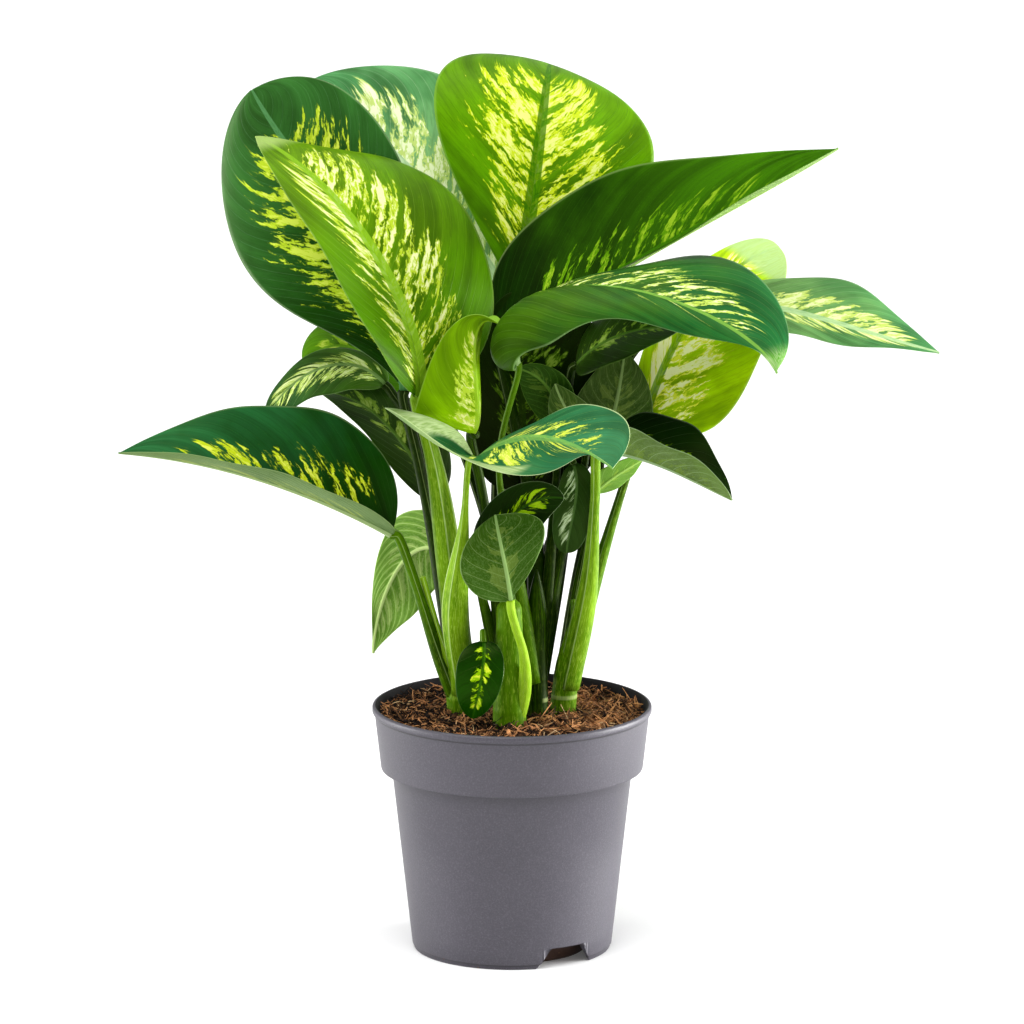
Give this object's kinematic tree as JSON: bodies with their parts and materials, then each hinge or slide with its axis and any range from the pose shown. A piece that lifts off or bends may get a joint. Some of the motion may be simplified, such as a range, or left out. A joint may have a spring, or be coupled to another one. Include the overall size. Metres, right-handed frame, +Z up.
{
  "type": "potted foliage plant",
  "caption": "Leafy house plant with long variegated oval blades on upright fleshy stalks, rooted in soil in a round tapered nursery pot with a rolled rim.",
  "frame": {"origin": "centre of the pot's underside, on the flat pad that it rests on", "axes": "+Z up along the pot's axis, -Y towards the front, +X to the right as seen from the front"},
  "size_m": [0.4933, 0.2557, 0.536],
  "materials": {
    "pot_plastic": "matte grey moulded plastic with a faint violet cast",
    "potting_soil": null,
    "stem_green": null,
    "leaf_bright": null,
    "leaf_mid": null,
    "leaf_dark": null,
    "leaf_grey": null
  },
  "bodies": {
    "root": {"pot": "pot_plastic", "soil": "potting_soil", "shoot_left": "stem_green", "shoot_front": "stem_green", "shoot_middle": "stem_green", "shoot_right": "stem_green", "shoot_back": "stem_green", "leaf_top_centre": "leaf_bright", "leaf_top_back_left": "leaf_grey", "leaf_left_broad": "leaf_dark", "leaf_front_bright": "leaf_bright", "leaf_right_dark": "leaf_dark", "leaf_front_young": "leaf_bright", "leaf_right_arching": "leaf_mid", "leaf_front_curled": "leaf_mid", "leaf_left_level": "leaf_dark", "leaf_left_grey": "leaf_grey", "leaf_left_behind": "leaf_mid", "leaf_left_under": "leaf_grey", "leaf_left_low": "leaf_grey", "leaf_far_right": "leaf_mid", "leaf_right_bright": "leaf_bright", "leaf_right_front": "leaf_dark", "leaf_right_lobe": "leaf_mid", "leaf_centre_grey": "leaf_grey", "leaf_centre_under": "leaf_dark", "leaf_centre_small": "leaf_grey", "leaf_centre_shade": "leaf_dark", "leaf_front_oval": "leaf_grey", "leaf_centre_dark": "leaf_dark", "leaf_centre_back": "leaf_dark", "leaf_front_tiny": "leaf_dark", "leaf_right_dim": "leaf_dark"}
  },
  "joints": []
}
